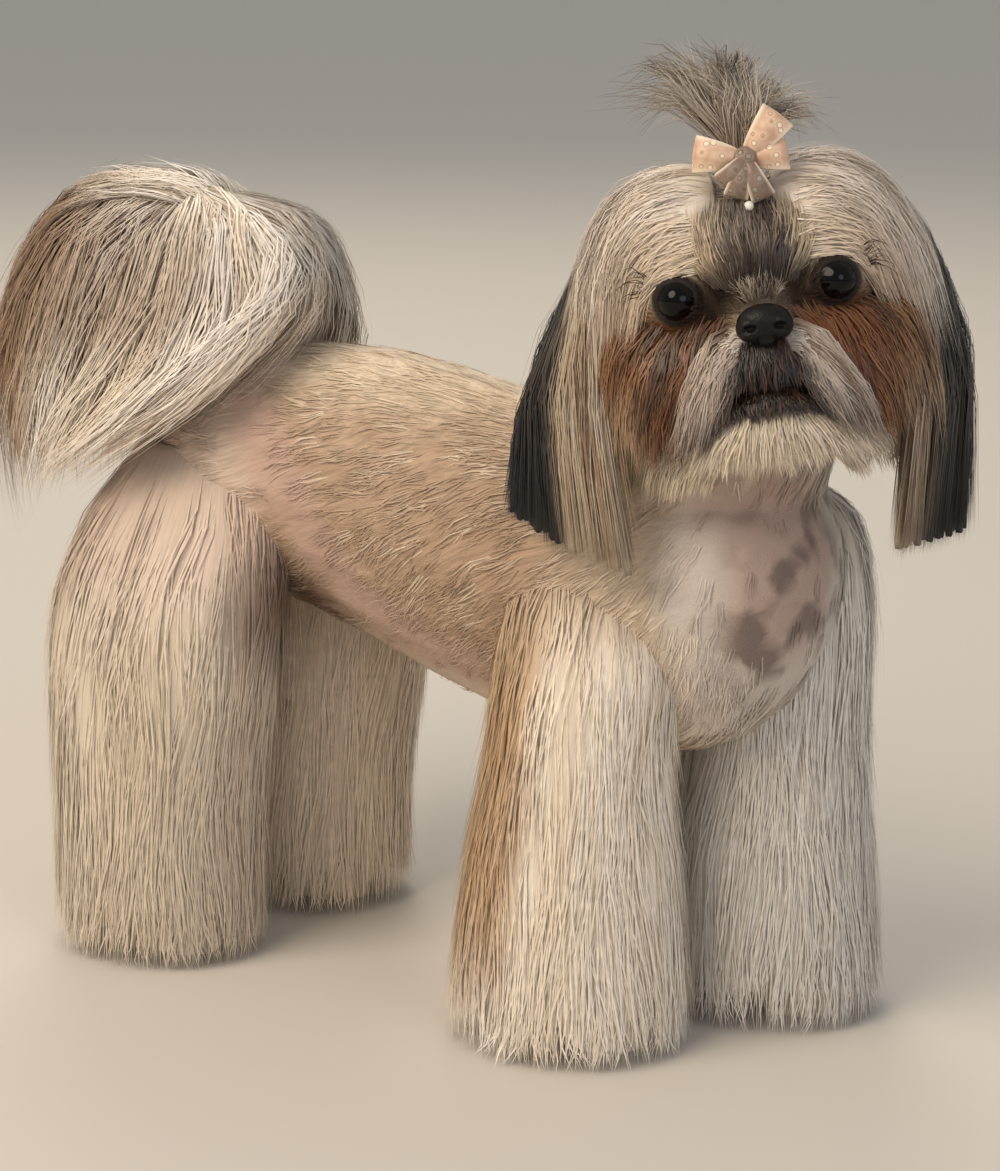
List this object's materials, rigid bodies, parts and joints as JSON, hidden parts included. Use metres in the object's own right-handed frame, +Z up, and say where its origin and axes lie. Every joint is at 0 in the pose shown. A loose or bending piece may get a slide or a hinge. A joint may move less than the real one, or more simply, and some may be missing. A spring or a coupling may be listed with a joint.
{
  "type": "shih tzu",
  "caption": "Still, life-size model of a standing shih tzu with clipped body, long leg hair, plumed tail, drop ears, topknot and bow.",
  "frame": {"origin": "on the floor under the centre of the whole model's box", "axes": "+X the way the dog's body faces, +Y to the dog's left, +Z up"},
  "size_m": [0.478, 0.1948, 0.4117],
  "materials": {
    "body_coat": "short clipped gold and cream hair",
    "face_coat": "soft tan, cream and dark brown hair",
    "leg_coat": "long straight cream hair, gold on the outside of the front legs",
    "plume_coat": "long cream hair with dark brown and gold streaks",
    "ear_coat": "long straight charcoal and beige hair",
    "topknot_coat": "gathered beige and grey hair",
    "eye": "glossy near-black",
    "nose_leather": "moist black, finely pebbled",
    "ribbon": null
  },
  "bodies": {
    "root": {"torso": "body_coat", "neck": "body_coat", "head": "face_coat", "eye_right": "eye", "eye_left": "eye", "nose": "nose_leather", "leg_front_right": "leg_coat", "leg_front_left": "leg_coat", "leg_rear_right": "leg_coat", "leg_rear_left": "leg_coat", "tail": "plume_coat", "ear_right": "ear_coat", "ear_left": "ear_coat", "topknot": "topknot_coat", "bow": "ribbon"}
  },
  "joints": []
}
